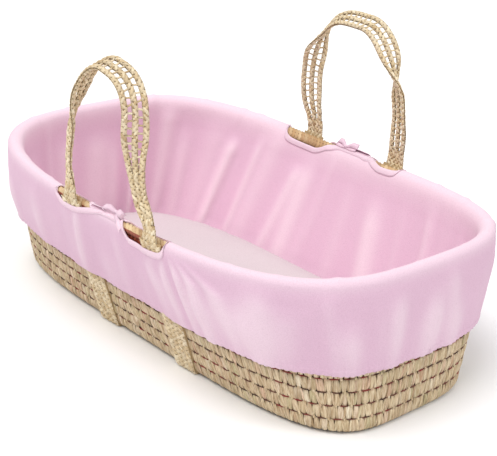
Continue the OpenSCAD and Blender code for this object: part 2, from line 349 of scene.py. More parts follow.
plaitShade = backingMaterial("plaitShade", tint(158, 126, 90), tint(112, 80, 56))
strapShade = backingMaterial("strapShade", tint(204, 180, 138), tint(158, 130, 94))


# dark red-brown cord: partly its own colour, partly painted shade of the grooves it sits in
def laceMaterial():
    g = Graph("laceCord")
    place = g.put("ShaderNodeTexCoord", output=3)
    patches = g.put("ShaderNodeTexNoise", {}, {"Vector": place, "Scale": 34.0, "Detail": 1.0})
    colour = g.ramp(patches, [(0.36, tint(78, 50, 38)), (0.5, tint(110, 62, 48)),
                              (0.62, tint(138, 48, 44))])
    return g.finish(Base_Color=colour, Roughness=0.75)


laceCord = laceMaterial()


# painted light: from this far along the cloth from the hem, the lining is coloured lighter as if
# better lit
paintedLightFrom = 0.138


# soft brushed knit, with painted shade where it lies back between the folds and, when a lining
# colour is given, painted light on the lining
def clothMaterial(name, colour, deep, foldShadeColour, sheen, inside=None):
    g = Graph(name)
    place = g.put("ShaderNodeTexCoord", output=3)
    cloth = g.put("ShaderNodeAttribute", {"attribute_name": "cloth"}, output=1)
    parts = g.tree.nodes.new("ShaderNodeSeparateXYZ")
    g.feed(parts.inputs[0], cloth)
    nap = g.put("ShaderNodeTexNoise", {}, {"Vector": place, "Scale": 850.0, "Detail": 2.0})
    knit = g.put("ShaderNodeTexVoronoi", {}, {"Vector": place, "Scale": 620.0})
    broad = g.put("ShaderNodeTexNoise", {}, {"Vector": place, "Scale": 7.0, "Detail": 3.0})
    base = g.blendColours(broad, deep, colour)
    if inside:
        # painted light on the lining, lighter than the skirt
        paintedLightMask = 40.0 * (Value(g, parts.outputs[1]) - paintedLightFrom)
        base = g.blendColours(paintedLightMask, base, inside)
    # painted shade: the attribute's third value darkens the cloth in the hollows between folds
    base = g.blendColours(0.75 * Value(g, parts.outputs[2]), base, foldShadeColour, "MULTIPLY")
    base = g.blendColours(nap * 0.20, base, tint(255, 244, 250), "SCREEN")
    base = g.blendColours(knit * 0.18, base, tint(170, 130, 150), "MULTIPLY")
    height = nap * 0.6 + knit * 0.8
    bump = g.put("ShaderNodeBump", {}, {"Strength": 0.32, "Distance": 0.0007, "Height": height})
    return g.finish(Base_Color=base, Roughness=0.12 * nap + 0.82, Normal=bump,
                    Sheen_Weight=sheen, Sheen_Roughness=0.5)


linerCloth = clothMaterial("linerCloth", tint(235, 208, 220), tint(228, 198, 213),
                           tint(234, 210, 228), 0.05, inside=tint(247, 217, 229))
mattressCloth = clothMaterial("mattressCloth", tint(209, 197, 198), tint(203, 190, 193),
                              tint(255, 255, 255), 0.05)
stitchThread = clothMaterial("stitchThread", tint(236, 196, 214), tint(226, 182, 204),
                             tint(255, 255, 255), 0.05)
print("materials made")

plait = {
    "rounds": 10, "pitch": 0.02185, "gap": 0.0016, "bulge": 0.0010, "corner": 0.006,
    "period": 0.0218, "stand": 0.0013, "leafThickness": 0.0005, "sag": 0.0042,
    "dashLength": 0.0184, "dashHeight": 0.0026, "dashDepth": 0.0060, "dashStand": 0.0010,
    "wide": (0.0042, 0.0048), "narrow": (0.0030, 0.0036), "thin": (0.0022, 0.0023),
    "slant": (0.0016, 0.0040), "jitter": 0.0007, "plump": (-0.0002, 0.0006),
    "broadLift": (0.0000, 0.0005), "thinLift": (-0.0002, 0.0003), "lap": 0.0010,
    "crossWidth": 0.0020, "crossHeight": 0.0080, "crossRise": 0.0021,
}


# outward distance of a round's face at b, 0 at its lower edge and 1 at its upper
def roundFace(k, b):
    swell = 1 - abs(2 * b - 1) ** 5
    tuck = plait["corner"] * max(0.0, 1 - b * 2.4) ** 1.7 if k == 0 else 0.0
    return plait["bulge"] * swell + plait["stand"] - tuck


def makeRound(k):
    rng = random.Random(100 + k)
    drop = plait["sag"] if k == 0 else 0.0
    low = basket["matZ"] + k * plait["pitch"] - drop
    height = plait["pitch"] - plait["gap"] + plait["lap"] + drop
    girth = Girth(0.001, low + height / 2)
    leaves = Gather()
    periods = round(girth.length / plait["period"])
    step = girth.length / periods
    shift = rng.random() * step

    def strand(s0, lowHalf, topHalf, lean, lift):
        seed = rng.random() * 50
        plump = rng.uniform(*plait["plump"])

        def place(a, b):
            half = mix(lowHalf, topHalf, b)
            s = s0 + lean * (b - 0.5) + a * half
            off = roundFace(k, b) + lift + plump * (1 - (2 * b - 1) ** 2)
            off += 0.0005 * (1 - a ** 6)
            z = low + height * b
            return wallPoint(girth.turn(s), off, z)
        leaves.strip(place, (topHalf + lowHalf) / 2, height, seed, 2, 5)

    for i in range(periods):
        s0 = shift + i * step + rng.uniform(-plait["jitter"], plait["jitter"])
        wide = rng.uniform(*plait["wide"])
        narrow = rng.uniform(*plait["narrow"])
        slant = rng.uniform(*plait["slant"])
        thin, thick = plait["thin"]
        for share, foot, head, lean, lifts in ((0.0, wide, narrow, -0.2, "broadLift"),
                                               (0.25, thin, thick, 1.3, "thinLift"),
                                               (0.5, narrow, wide, 0.2, "broadLift"),
                                               (0.75, thick, thin, -1.3, "thinLift")):
            strand(s0 + step * share, foot, head, slant * lean, rng.uniform(*plait[lifts]))
    # the top round gets the red leaf, partly leaf dye and partly painted reflected light
    dyedAndReflectionTinted = k == plait["rounds"] - 1
    piece = newPiece("plait_round_%02d" % (k + 1), leaves.bm, "basket",
                     redLeaf if dyedAndReflectionTinted else plaitLeaf)
    return thicken(piece, plait["leafThickness"])


for k in range(plait["rounds"]):
    makeRound(k)
print("plait rounds made")


# the lacing shows as dark red-brown dashes in the grooves, partly dyed cord and partly painted
# groove shade, and a light leaf crosses between two dashes
def makeLacing():
    rng = random.Random(7)
    beads = Gather()
    leaves = Gather()
    for k in range(1, plait["rounds"]):
        z = basket["matZ"] + k * plait["pitch"] - plait["gap"] / 2
        girth = Girth(0.002, z)
        count = round(girth.length / plait["period"])
        step = girth.length / count
        shift = rng.random() * step
        for i in range(count):
            s = shift + i * step + rng.uniform(-0.001, 0.001)
            half = plait["dashLength"] / 2 * rng.uniform(0.9, 1.08)
            here = wallPoint(girth.turn(s), plait["dashStand"], z)
            ahead = wallPoint(girth.turn(s + half), plait["dashStand"], z)
            behind = wallPoint(girth.turn(s - half), plait["dashStand"], z)
            size = Matrix.Diagonal((half / 0.5, plait["dashDepth"],
                                    plait["dashHeight"] * rng.uniform(0.7, 1.1), 1))
            beads.bead(Matrix.Translation(here) @ turnAlong(ahead - behind) @ size,
                       rng.random() * 50)

            def place(a, b):
                off = plait["dashStand"] + plait["crossRise"] * (1 - (2 * b - 1) ** 2)
                width = plait["crossWidth"] * (1 - 0.2 * abs(2 * b - 1))
                return wallPoint(girth.turn(s + step / 2 + a * width), off,
                                 z + (b - 0.5) * plait["crossHeight"])
            leaves.strip(place, plait["crossWidth"], plait["crossHeight"],
                         rng.random() * 50, 2, 3)
    dashes = newPiece("lacing_dashes", beads.bm, "basket", laceCord)
    crossings = newPiece("lacing_crossings", leaves.bm, "basket", plaitLeaf)
    thicken(crossings, plait["leafThickness"])


makeLacing()

for k in range(plait["rounds"]):
    dress("wall_round_%02d" % (k + 1), plaitShade)
dress("base_mat", plaitShade)
dress("lacing_cord", laceCord)
print("lacing made")

rim = {"wrapWidth": 0.0078, "stand": 0.0015, "slant": 0.9, "overlap": 0.54, "dip": 0.0017}


def makeRimWraps():
    rng = random.Random(3)
    girth = Girth(basket["coilOff"], basket["rimZ"])
    leaves = Gather()
    count = round(girth.length / rim["wrapWidth"])
    step = girth.length / count
    radius = basket["coilRadius"] + rim["stand"]
    for i in range(count):
        s0 = i * step

        def place(a, b):
            angle = b * 2 * pi
            s = s0 + a * step * rim["overlap"] + step * rim["slant"] * cos(angle)
            r = radius - rim["dip"] * a * a
            off = basket["coilOff"] + r * cos(angle)
            return wallPoint(girth.turn(s), off, basket["rimZ"] + r * sin(angle))
        leaves.strip(place, rim["wrapWidth"] / 2, 0.05, rng.random() * 50, 2, 12)
    wraps = newPiece("rim_wraps", leaves.bm, "basket", rimLeaf)
    dress("rim_coil", plaitShade)


makeRimWraps()
print("rim made")

weave = {
    "stitch": 0.0088, "rise": 0.0019, "leafThickness": 0.0006, "coreHalf": 0.0026,
    "handleRise": 0.0028, "coreDepth": 0.0022, "leafHalf": 0.0038,
    "railWidth": 0.0086, "rungPitch": 0.0112, "rungWidth": 0.0030, "handleHeight": 0.242,
    "footHeight": 0.014, "archSteps": 160, "coreLift": 0.0010, "rungDepth": 0.0013,
    "rungGap": 0.003, "rungShift": 0.004, "coreStep": 0.006, "strapTop": 0.004,
}
# how each handle has settled: drift, height, how it leans, where its plaits draw together
# and how far it twists
settle = {
    -1: {"left": -0.012, "right": -0.034, "tall": 0.950, "tilt": 0.140, "square": (1.9, 2.8),
         "footRail": 0.0070, "topRail": 0.0158, "drawn": (0.066, 0.090),
         "twist": ((25, 0.05, 0.16), (49, 0.42, 0.34))},
    1: {"left": -0.022, "right": 0.002, "tall": 0.925, "tilt": 0.025, "square": (4.2, 2.1),
        "footRail": 0.0116, "topRail": 0.0158, "drawn": (0.010, 0.060),
        "twist": ((20, 0.06, 0.30), (98, 0.46, 0.36))},
}


# a path with a direction along it, across the strap and out of its face
class StrapPath:
    def __init__(self, points, acrossWays):
        self.points = np.array([p[:] for p in points])
        self.acrossWays = np.array([w[:] for w in acrossWays])
        steps = np.linalg.norm(np.diff(self.points, axis=0), axis=1)
        self.along = np.concatenate([[0], np.cumsum(steps)])
        self.length = float(self.along[-1])

    def at(self, s):
        def read(table, where):
            return Vector([float(np.interp(where, self.along, table[:, i])) for i in range(3)])
        tangent = (read(self.points, s + 0.002) - read(self.points, s - 0.002)).normalized()
        across = read(self.acrossWays, s)
        across = (across - tangent * across.dot(tangent)).normalized()
        return read(self.points, s), across, tangent.cross(across), tangent


# crossing leaf stitches along one plait of a strap, on one face or both
def plaitStitches(leaves, path, offset, width, start, end, faces, lift, rise, rng):
    pitch = weave["stitch"]
    count = int((end - start) / pitch)
    for i in range(count):
        for hand in (-1, 1):
            s0 = start + (i + (0.25 if hand > 0 else 0.75)) * pitch
            for face in faces:
                wide = weave["leafHalf"] * rng.uniform(0.82, 1.12)
                skew = rng.uniform(-0.0007, 0.0007)
                crest = rise * rng.uniform(0.75, 1.2)

                def place(a, b):
                    reach = (b - 0.5) * width * hand
                    plump = 0.55 + 0.45 * sin(pi * b)
                    s = s0 + (b - 0.5) * pitch * 1.1 + a * wide * plump
                    p, across, out, _ = path.at(min(max(s + skew, 0.0), path.length))
                    crown = lift + crest * sin(pi * (0.05 + 0.9 * b))
                    crown -= 0.0007 * a * a
                    return p + across * (offset(s) + reach) + out * (face * crown)
                leaves.strip(place, wide, width, rng.random() * 50, 2, 4)


# a flat tube along the path, used as the core of a plait
def coreTube(leaves, path, offset, halfWidth, halfDepth, start, end, seed):
    rows = max(4, int((end - start) / weave["coreStep"]))

    def place(a, b):
        angle = a * pi
        s = mix(start, end, b)
        p, across, out, _ = path.at(s)
        return (p + across * (offset(s) + halfWidth * cos(angle))
                + out * (halfDepth * sin(angle)))
    leaves.strip(place, halfWidth, end - start, seed, 8, rows)


# a short rung between two plaits
def rung(leaves, path, s, fromOff, toOff, rng):
    lean = rng.uniform(-0.0016, 0.0016)
    half = weave["rungWidth"] / 2 * rng.uniform(0.85, 1.15)

    def place(a, b):
        angle = a * pi
        p, across, out, tangent = path.at(s + lean * (b - 0.5) * 2)
        pinch = half * (1 - 0.25 * sin(pi * b))
        return (p + across * mix(fromOff, toOff, b)
                + tangent * (pinch * cos(angle)) + out * (weave["rungDepth"] * sin(angle)))
    leaves.strip(place, half, abs(toOff - fromOff), rng.random() * 50, 8, 2)


def archPoint(side, g):
    rest = settle[side]
    square = rest["square"][0 if cos(g) < 0 else 1]
    share = lobe(sin(g), 1, square)
    bow = sin(pi * share) * smooth(share / 0.25)
    lean = 1 - rest["tilt"] * cos(g) * share
    drift = mix(rest["left"], rest["right"], smooth((cos(g) + 1) / 2))
    half = strap["spacing"] / 2
    return Vector((sideMiddle(side) + lobe(cos(g), half, square) + drift * bow,
                   side * strap["pivotY"],
                   strap["pivotZ"] + share * weave["handleHeight"] * rest["tall"] * lean))


# the strap lies flat on the wall at its feet and flat across at the top of the arch
def archTwist(side, z):
    h = (z - strap["pivotZ"]) / weave["handleHeight"]
    return radians(sum(turn * smooth((h - start) / run)
                            for turn, start, run in settle[side]["twist"]))


def archPath(side):
    points = []
    ways = []
    for i in range(weave["archSteps"] + 1):
        g = pi * (1 - i / weave["archSteps"])
        p = archPoint(side, g)
        ahead = archPoint(side, max(0.0, g - 0.004)) - archPoint(side, min(pi, g + 0.004))
        ahead.normalize()
        turn = archTwist(side, p.z)
        way = Vector((ahead.z * cos(turn), side * sin(turn), -ahead.x * cos(turn)))
        points.append(p)
        ways.append(way)
    return StrapPath(points, ways)


def makeHandle(side, name):
    rng = random.Random(20 + side)
    path = archPath(side)
    start = weave["footHeight"]
    end = path.length - start

    # the three plaits draw together towards the feet
    rest = settle[side]
    begin, run = rest["drawn"]

    def rail(s):
        fromFoot = min(s, path.length - s)
        return mix(rest["footRail"], rest["topRail"], smooth((fromFoot - begin) / run))

    leaves = Gather()
    cores = Gather()
    for place in (-1, 0, 1):
        def offset(s):
            return place * rail(s)
        coreTube(cores, path, offset, weave["coreHalf"], weave["coreDepth"], start, end,
                 rng.random() * 50)
        plaitStitches(leaves, path, offset, weave["railWidth"], start, end, (-1, 1),
                      weave["coreLift"], weave["handleRise"], rng)
    count = int((end - start) / weave["rungPitch"])
    for i in range(count):
        s = start + (i + 0.5) * (end - start) / count
        reach = rail(s)
        gap = weave["rungGap"]
        rung(leaves, path, s, gap - reach, -gap, rng)
        rung(leaves, path, s + weave["rungShift"], gap, reach - gap, rng)
    piece = newPiece(name + "_weave", leaves.bm, name, strapLeaf)
    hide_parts(name)
    thicken(piece, weave["leafThickness"])
    core = newPiece(name + "_cores", cores.bm, name, strapShade)


makeHandle(-1, "handle_front")
makeHandle(1, "handle_back")
print("handles made")


# the strap's side view: under the floor, round the corner and up the wall
def strapRun():
    lean = radians(strap["lean"])
    t = strap["thickness"]
    radius = strap["cornerRadius"] + t / 2
    cornerZ = t + strap["cornerRadius"]
    faceY = (strap["pivotY"] - (strap["pivotZ"] - cornerZ) * tan(lean)
             - t / 2 / cos(lean))
    cornerY = faceY - strap["cornerRadius"] / cos(lean)
    run = [(0.0, t / 2)]
    for i in range(9):
        g = -pi / 2 + (pi / 2 - lean) * i / 8
        run.append((cornerY + radius * cos(g), cornerZ + radius * sin(g)))
    gap = weave["strapTop"]
    run.append((strap["pivotY"] - gap * sin(lean), strap["pivotZ"] - gap * cos(lean)))
    return run


def makeCarryStrap(side, name):
    rng = random.Random(40 + side)
    run = strapRun()
    profile = [(-y, z) for y, z in run[:0:-1]] + run
    turn = radians(strap["turn"])
    middleX = strap["middle"] + side * strap["spacing"] / 2
    points = [Vector((middleX - y * sin(turn), y * cos(turn), z)) for y, z in profile]
    way = Vector((cos(turn), sin(turn), 0))
    path = StrapPath(points, [way] * len(points))
    leaves = Gather()
    cord = strap["width"] / 4
    for i in range(4):
        offset = (i - 1.5) * cord
        plaitStitches(leaves, path, lambda s: offset, cord + 0.001, 0.0, path.length, (1,),
                      strap["thickness"] / 2 - 0.0002, weave["rise"], rng)
    for vert in leaves.bm.verts:
        vert.co.z = max(vert.co.z, weave["leafThickness"] + 0.0001)
    piece = newPiece(name + "_weave", leaves.bm, "basket", strapLeaf)
    thicken(piece, weave["leafThickness"])
    dress(name, strapShade)


makeCarryStrap(-1, "carry_strap_left")
makeCarryStrap(1, "carry_strap_right")
print("carrying straps made")


foot = {
    "from": -0.026, "step": 0.0025, "points": 21, "inset": 0.0035, "cord": 0.0098,
    "coreHalf": 0.0046, "coreDepth": 0.0015, "lift": 0.0008, "bendBelow": 0.010,
    "bendAbove": 0.012,
}


# the bound length over each foot bends between the fixed strap and the handle
def makeFeet(side, name):
    rng = random.Random(60 + side)
    lean = radians(strap["lean"])
    for end, word in ((-1, "left"), (1, "right")):
        x = sideMiddle(side) + end * strap["spacing"] / 2
        points = []
        for i in range(foot["points"]):
            s = foot["from"] + i * foot["step"]
            k = smooth((s + 0.01) / 0.02)
            y = strap["pivotY"] + min(s, 0) * sin(lean) * (1 - k)
            z = strap["pivotZ"] + s * mix(cos(lean), 1, k)
            points.append(Vector((x, side * y, z)))
        path = StrapPath(points, [Vector((1, 0, 0))] * len(points))
        leaves = Gather()
        cores = Gather()

        # wide and flat where it leaves the strap, drawn together where the handle starts
        def spread(s):
            return mix(strap["width"] / 2 - foot["inset"],
                       settle[side]["footRail"] + foot["inset"], smooth(s / path.length))
        for i in range(4):
            def offset(s):
                return (i - 1.5) / 1.5 * (spread(s) - foot["inset"])
            coreTube(cores, path, offset, foot["coreHalf"], foot["coreDepth"], 0.0,
                     path.length, rng.random() * 50)
            plaitStitches(leaves, path, offset, foot["cord"], 0.001, path.length, (-1, 1),
                          foot["lift"], weave["rise"], rng)
        piece = newPiece(name + "_foot_" + word, leaves.bm, None, strapLeaf)
        thicken(piece, weave["leafThickness"])
        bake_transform(piece)
        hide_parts(name + "_foot_bindings")
        core = newPiece(name + "_foot_core_" + word, cores.bm, None, strapShade)
        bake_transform(core)


makeFeet(-1, "handle_front")
makeFeet(1, "handle_back")
print("handle feet made")

liner = {
    "wrapRadius": 0.0106, "columns": 640, "thickness": 0.0014, "innerLap": 0.007,
    "folds": 58, "innerFolds": 44, "creases": 30, "hemFold": 0.0085, "sideShare": 0.6,
    "skirtFrom": 0.018, "skirtRows": 36, "innerRows": 48, "hemRipple": 0.0008,
    "strapBump": 0.0050, "strapBumpHalf": 0.032, "creaseRun": 0.030, "seamDepth": 0.0065,
    "seamWidth": 0.0030,
}
# pleats at the seam: place along the rim, half width and height
seamPleatSizes = (
    (0.012, 0.007, 0.0092), (0.034, 0.010, 0.0080), (0.066, 0.014, 0.0056),
    (-0.012, 0.007, 0.0072), (-0.038, 0.012, 0.0046),
)
# the two handle openings on each side share one cut, with a flap standing up between them
opening = {
    -1: {"from": -0.126, "to": 0.141, "dipLeft": 0.020, "dipRight": 0.026,
         "flapLeft": 0.012, "flapRight": 0.018, "inLeft": 0.013, "inRight": 0.013,
         "runLeft": 0.088, "runRight": 0.022, "lapLeft": 0.052, "lapRight": 0.014,
         "lapRun": 0.026},
    1: {"from": -0.155, "to": 0.124, "dipLeft": 0.030, "dipRight": 0.025,
        "flapLeft": 0.026, "flapRight": 0.046, "inLeft": 0.021, "inRight": 0.011,
        "runLeft": 0.060, "runRight": 0.034, "lapLeft": 0.008, "lapRight": 0.030,
        "lapRun": 0.064},
}


# distance from the wall and height in mm: down the outside, then down the inside
skirtLine = [(8.2, 103), (9.2, 108), (9.8, 118), (10.6, 140), (11.2, 170), (11.0, 195),
             (9.2, 216)]
liningLine = [(-14.8, 224), (-12.8, 208), (-11.2, 190), (-10.4, 150), (-10.4, 100),
              (-10.8, 60), (-12.5, 36), (-17, 21), (-26, 15.0)]
wrapSteps = 24


# off and height along the cloth, from the hem over the rim and down to the mattress
def linerProfile():
    line = [(off * mm, z * mm) for off, z in skirtLine]
    for i in range(wrapSteps + 1):
        g = pi * i / wrapSteps
        line.append((basket["coilOff"] + liner["wrapRadius"] * cos(g),
                     basket["rimZ"] + liner["wrapRadius"] * sin(g)))
    line += [(off * mm, z * mm) for off, z in liningLine]
    return np.array(line)


line = linerProfile()
lineAlong = np.concatenate([[0], np.cumsum(np.linalg.norm(np.diff(line, axis=0), axis=1))])
crestAlong = float(lineAlong[len(skirtLine) + wrapSteps // 2])
linerLength = float(lineAlong[-1])
linerGirth = Girth(0.005, basket["rimZ"])


def lineAt(v):
    v = min(max(v, 0.0), linerLength)
    ahead = min(v + 0.003, linerLength)
    behind = max(v - 0.003, 0.0)
    spots = np.interp([v, behind, ahead], lineAlong, line[:, 0])
    heights = np.interp([v, behind, ahead], lineAlong, line[:, 1])
    way = Vector((heights[2] - heights[1], spots[1] - spots[2])).normalized()
    return float(spots[0]), float(heights[0]), way.x, way.y


# soft folds at uneven places, each with its own width, height, slant and start
def scatterFolds(count, widths, heights, slant, starts, rng):
    lowest, highest = heights
    made = []
    for i in range(count):
        made.append({
            "at": linerGirth.length * (i + rng.uniform(-0.4, 0.4)) / count,
            "wide": rng.uniform(*widths),
            "high": lowest + (highest - lowest) * rng.random() ** 1.6,
            "slant": rng.uniform(-slant, slant),
            "start": rng.uniform(*starts),
            "run": rng.uniform(0.03, 0.09),
        })
    return made


foldRng = random.Random(11)
skirtFolds = scatterFolds(liner["folds"], (0.009, 0.028), (0.0014, 0.0080), 0.13,
                          (0.002, 0.05), foldRng)
innerFolds = scatterFolds(liner["innerFolds"], (0.010, 0.032), (0.0018, 0.0095), 0.07,
                          (0.002, 0.05), foldRng)
crestCreases = scatterFolds(liner["creases"], (0.004, 0.009), (0.0005, 0.0017), 0.35,
                            (0, 0), foldRng)


def wrapGap(s, at):
    d = (s - at) % linerGirth.length
    return d - linerGirth.length if d > linerGirth.length / 2 else d


def foldSum(folds, s, drop):
    total = 0.0
    for fold in folds:
        if drop <= fold["start"]:
            continue
        d = wrapGap(s, fold["at"] + fold["slant"] * drop) / fold["wide"]
        if abs(d) < 3:
            grow = smooth((drop - fold["start"]) / fold["run"])
            total += fold["high"] * exp(-d * d) * grow
    return total


# pleats that fan out from the right end of the front opening, where the panels are sewn
def seamPleats(d, down):
    if abs(d) > 0.12 or down < 0.008:
        return 0.0
    fall = smooth((down - 0.008) / 0.05)
    fan = 0.3 + 0.9 * fall
    near = 1 - 0.6 * smooth((down - 0.06) / 0.08)
    groove = exp(-(d / liner["seamWidth"]) ** 2)
    total = -liner["seamDepth"] * groove * near * smooth((down - 0.008) / 0.01)
    for place, wide, high in seamPleatSizes:
        total += high * fall * near * exp(-((d - place * fan) / (wide * fan)) ** 2)
    return total


# small creases that run over the rim, mostly round the two ends
def creases(s, v, x):
    total = 0.0
    for crease in crestCreases:
        d = wrapGap(s, crease["at"] + crease["slant"] * (v - crestAlong)) / crease["wide"]
        if abs(d) < 3:
            total += crease["high"] * exp(-d * d)
    nearCrest = exp(-((v - crestAlong) / liner["creaseRun"]) ** 2)
    return total * nearCrest * smooth((abs(x) - 0.14) / 0.05)


# how far the cloth stands off its rest line, and how deep it lies between folds, which the material
# paints as shade
def linerStand(s, v, turn, x):
    side = -1 if turn > pi else 1
    alongSide = abs(sin(turn)) > liner["sideShare"]
    wrinkle = creases(s, v, x)
    if v >= crestAlong:
        down = v - crestAlong
        stand = foldSum(innerFolds, s, down) * (1 - 0.6 * smooth((v - linerLength + 0.03) / 0.03))
        deep = (1 - smooth(stand / 0.009)) * smooth(down / 0.06)
        return stand + wrinkle, deep
    down = crestAlong - v
    stand = foldSum(skirtFolds, s, down) * (1 - 0.45 * exp(-(v / 0.030) ** 2)) + wrinkle
    if alongSide and side < 0:
        stand += seamPleats(x - opening[-1]["to"], down)
    deep = 1 - smooth(stand / 0.008)
    hem = exp(-(v / 0.020) ** 2)
    stand += hem * liner["hemRipple"] * sin(s / 0.0019 + 2.2 * sin(s * 31))
    stand += 0.0008 * (1 - smooth((v - liner["hemFold"]) / 0.0012))
    if alongSide:
        over = 0.0
        for end in (-1, 1):
            d = (x - sideMiddle(side) - end * strap["spacing"] / 2) / liner["strapBumpHalf"]
            over = max(over, exp(-d ** 4) if abs(d) < 2.5 else 0.0)
        stand = max(stand, over * liner["strapBump"] * smooth((down - 0.006) / 0.014))
    return stand, deep * smooth(down / 0.03)


# edges of the opening for a handle: lower edge on the skirt, upper edge on the lining
def openingEdges(turn, x):
    if abs(sin(turn)) <= liner["sideShare"]:
        return crestAlong, crestAlong
    side = -1 if turn > pi else 1
    hole = opening[side]
    d = (x - (hole["from"] + hole["to"]) / 2) / ((hole["to"] - hole["from"]) / 2)
    if abs(d) >= 1:
        return crestAlong, crestAlong
    close = (1 - abs(d) ** 12) ** 0.34
    fromMiddle = x - sideMiddle(side)
    end = "Left" if fromMiddle < 0 else "Right"
    flap = 1 - smooth((abs(fromMiddle) - hole["flap" + end]) / hole["run" + end])
    drop = hole["dip" + end] * (1 - flap)
    lapped = 1 - smooth((abs(fromMiddle) - hole["lap" + end]) / hole["lapRun"])
    inward = mix(hole["in" + end], -min(drop, liner["innerLap"]), lapped)
    return crestAlong - close * drop, crestAlong + close * inward


# a point of the cloth, lifted off its own surface, with its depth between folds for the painted
# shade
def linerPoint(s, v, lift=0.0):
    turn = linerGirth.turn(s)
    off, z, outOff, outZ = lineAt(v)
    stand, deep = linerStand(s, v, turn, linerGirth.x(s))
    stand += lift
    return wallPoint(turn, off + outOff * stand, z + outZ * stand), deep


def makeLiner():
    bm, cloth = clothMesh()
    hem = [0, 0.002, 0.0045, 0.0068, 0.0082, 0.0094, 0.0108, 0.0135]
    skirtRows = [h / crestAlong for h in hem]
    skirtRows += list(np.linspace(liner["skirtFrom"] / crestAlong, 1, liner["skirtRows"]))
    innerRows = list(np.linspace(0, 1, liner["innerRows"]))
    for part, rows in (("skirt", skirtRows), ("inner", innerRows)):
        for vert in addGrid(bm, liner["columns"], len(rows) - 1):
            s = (vert.co.x + 0.5) * linerGirth.length
            b = rows[round((vert.co.y + 0.5) * (len(rows) - 1))]
            lowEdge, highEdge = openingEdges(linerGirth.turn(s), linerGirth.x(s))
            v = lowEdge * b if part == "skirt" else mix(highEdge, linerLength, b)
            vert.co, deep = linerPoint(s, v)
            # the third value is the painted shade between the folds
            vert[cloth] = (s, v, deep)
    bmesh.ops.remove_doubles(bm, verts=bm.verts, dist=0.0002)
    faceOut(bm)
    piece = newPiece("liner_cloth", bm, "basket", linerCloth)
    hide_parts("liner_inner_wall", "skirt_end_left", "skirt_end_right", "skirt_front",
                "skirt_back", "flap_front", "flap_back", "opening_facings", "hem_casing")
    thicken(piece, liner["thickness"])


facing = {
    "columns": 150, "rows": 4, "width": 0.0100, "overlap": 0.0008, "stand": 0.0011,
    "puff": 0.0004, "tone": 0.145, "thickness": 0.0010, "stitches": 70, "inset": 0.0070,
    "stitchStand": 0.0021, "stitchStep": 0.004, "stitchSize": (0.0028, 0.0007, 0.0007, 1),
    "samples": 4001, "endLap": 0.001,
}


# the turned edge along each opening, on the skirt and on the lining, with its stitches
def makeFacing(side, name, lining):
    hole = opening[side]
    spots = []
    for s in np.linspace(0, linerGirth.length, facing["samples"]):
        turn = linerGirth.turn(s)
        if (turn > pi) == (side < 0) and abs(sin(turn)) > liner["sideShare"]:
            spots.append((linerGirth.x(s), s))
    xs, ss = zip(*sorted(spots))
    way = 1 if lining else -1

    def edgePoint(b, inset, lift):
        x = mix(hole["from"] - facing["endLap"], hole["to"] + facing["endLap"], b)
        s = float(np.interp(x, xs, ss))
        edge = openingEdges(linerGirth.turn(s), linerGirth.x(s))[1 if lining else 0]
        return linerPoint(s, edge + way * inset, lift)[0]

    bm, cloth = clothMesh()
    for vert in addGrid(bm, facing["columns"], facing["rows"]):
        b = vert.co.x + 0.5
        across = vert.co.y + 0.5
        lift = facing["stand"] + facing["puff"] * sin(pi * across)
        vert.co = edgePoint(b, facing["width"] * across - facing["overlap"], lift)
        # the tone value gives the edge a little of the lining's lighter painted-light colour
        vert[cloth] = (b, facing["tone"], 0.0)
    faceOut(bm)
    piece = newPiece("opening_edge_" + name, bm, "basket", linerCloth)
    thicken(piece, facing["thickness"])
    threads = Gather()
    for i in range(facing["stitches"]):
        b = (i + 0.5) / facing["stitches"]
        here = edgePoint(b, facing["inset"], facing["stitchStand"])
        ahead = edgePoint(b + facing["stitchStep"], facing["inset"], facing["stitchStand"])
        threads.bead(Matrix.Translation(here) @ turnAlong(ahead - here)
                     @ Matrix.Diagonal(facing["stitchSize"]), i)
    stitches = newPiece("opening_stitches_" + name, threads.bm, "basket", stitchThread)


# each path goes out from the knot along the rim, away from it and up
tie = {
    "shift": 0.004, "above": 0.0125, "thickness": 0.0009, "rows": 18, "cup": 0.0007,
    "reach": 0.021, "droop": 0.003, "knotSize": (0.0052, 0.0082, 0.0072, 1),
    "knotStep": 0.0016, "knotAbove": 0.0036, "knotSway": 0.0006,
    "loop": {"path": [(0, 0, 0.003), (0.5, 0.004, 0.009), (1, 0.007, 0.008),
                      (1.05, 0.003, 0.003), (0.5, 0.001, 0.002), (0, 0, 0.002)],
             "halves": [0.0026, 0.0048, 0.0054, 0.0054, 0.0046, 0.0026],
             "lean": (0.85, 0.5)},
    "tailAlong": {"path": [(0, 0, 0.002), (0.014, 0.004, 0.003), (0.032, 0.0065, 0.0018),
                           (0.050, 0.0075, 0.0008)],
                  "halves": [0.0028, 0.0052, 0.0060, 0.0062], "lean": (0.8, -0.6)},
    "tailDown": {"path": [(0, 0, 0.002), (0.011, 0.008, 0.003), (0.021, 0.013, -0.002),
                          (0.030, 0.014, -0.010)],
                 "halves": [0.0026, 0.0046, 0.0052, 0.0056], "lean": (0.6, 0.8)},
}


